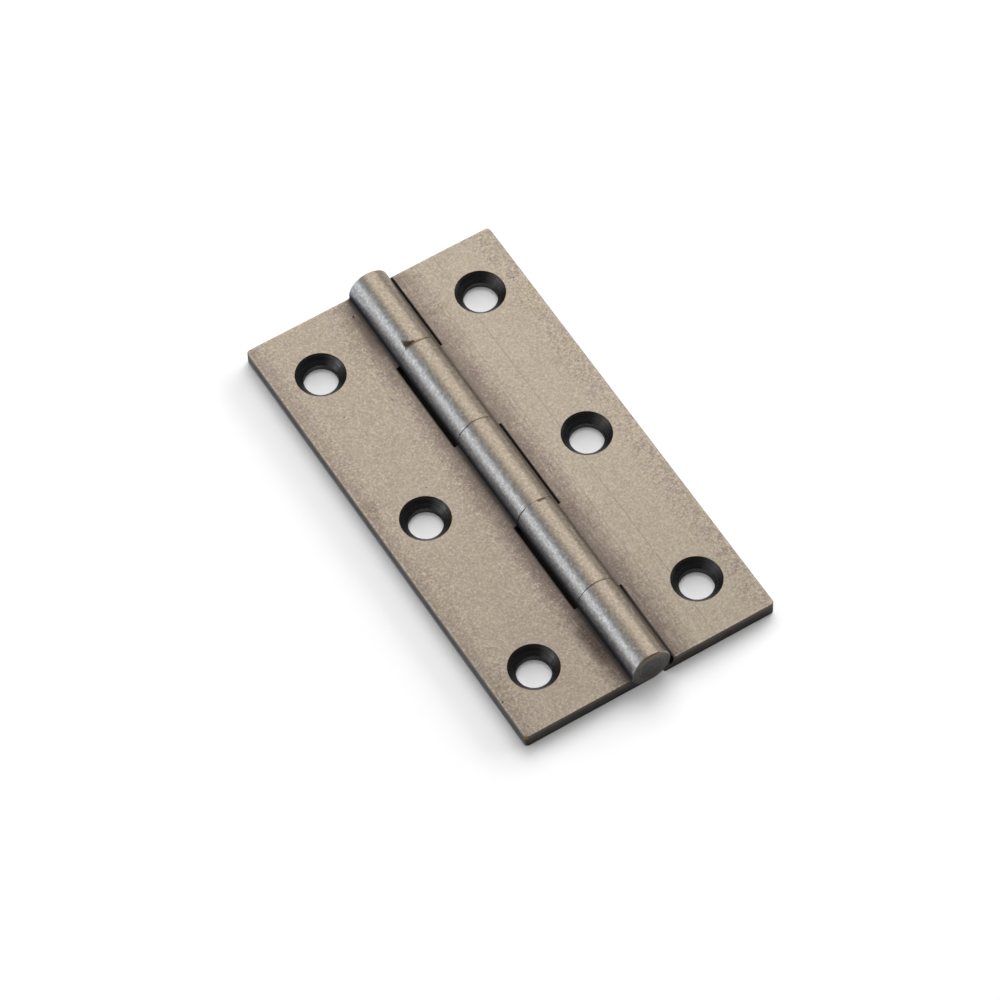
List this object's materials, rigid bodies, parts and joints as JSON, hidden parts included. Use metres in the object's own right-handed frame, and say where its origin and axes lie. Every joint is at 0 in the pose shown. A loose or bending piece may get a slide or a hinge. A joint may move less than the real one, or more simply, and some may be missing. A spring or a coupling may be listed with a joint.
{
  "type": "furniture hinge",
  "caption": "Flat butt hinge whose countersunk leaves turn about a flush pin through an interleaved round barrel.",
  "frame": {"origin": "back plane of the leaves, under the middle of the pin", "axes": "+X toward the two-knuckle leaf, +Y along the pin, +Z out of the countersunk front faces, with the hinge open flat"},
  "size_m": [0.041, 0.0762, 0.0064],
  "materials": {
    "aged_leaf": "brass darkened to a mottled grey-beige antique finish, satin",
    "aged_pin": "darkened metal, cut and spread at the ends, satin"
  },
  "bodies": {
    "fixed_leaf": {"three_knuckle_leaf": "aged_leaf", "hinge_pin": "aged_pin"},
    "swinging_leaf": {"two_knuckle_leaf": "aged_leaf"}
  },
  "joints": [
    {"name": "leaf_fold", "type": "hinge", "parent": "fixed_leaf", "child": "swinging_leaf", "pos_m": [0, 0, 0.0032], "axis": [0, -1, 0], "range_deg": [-62, 184]}
  ]
}
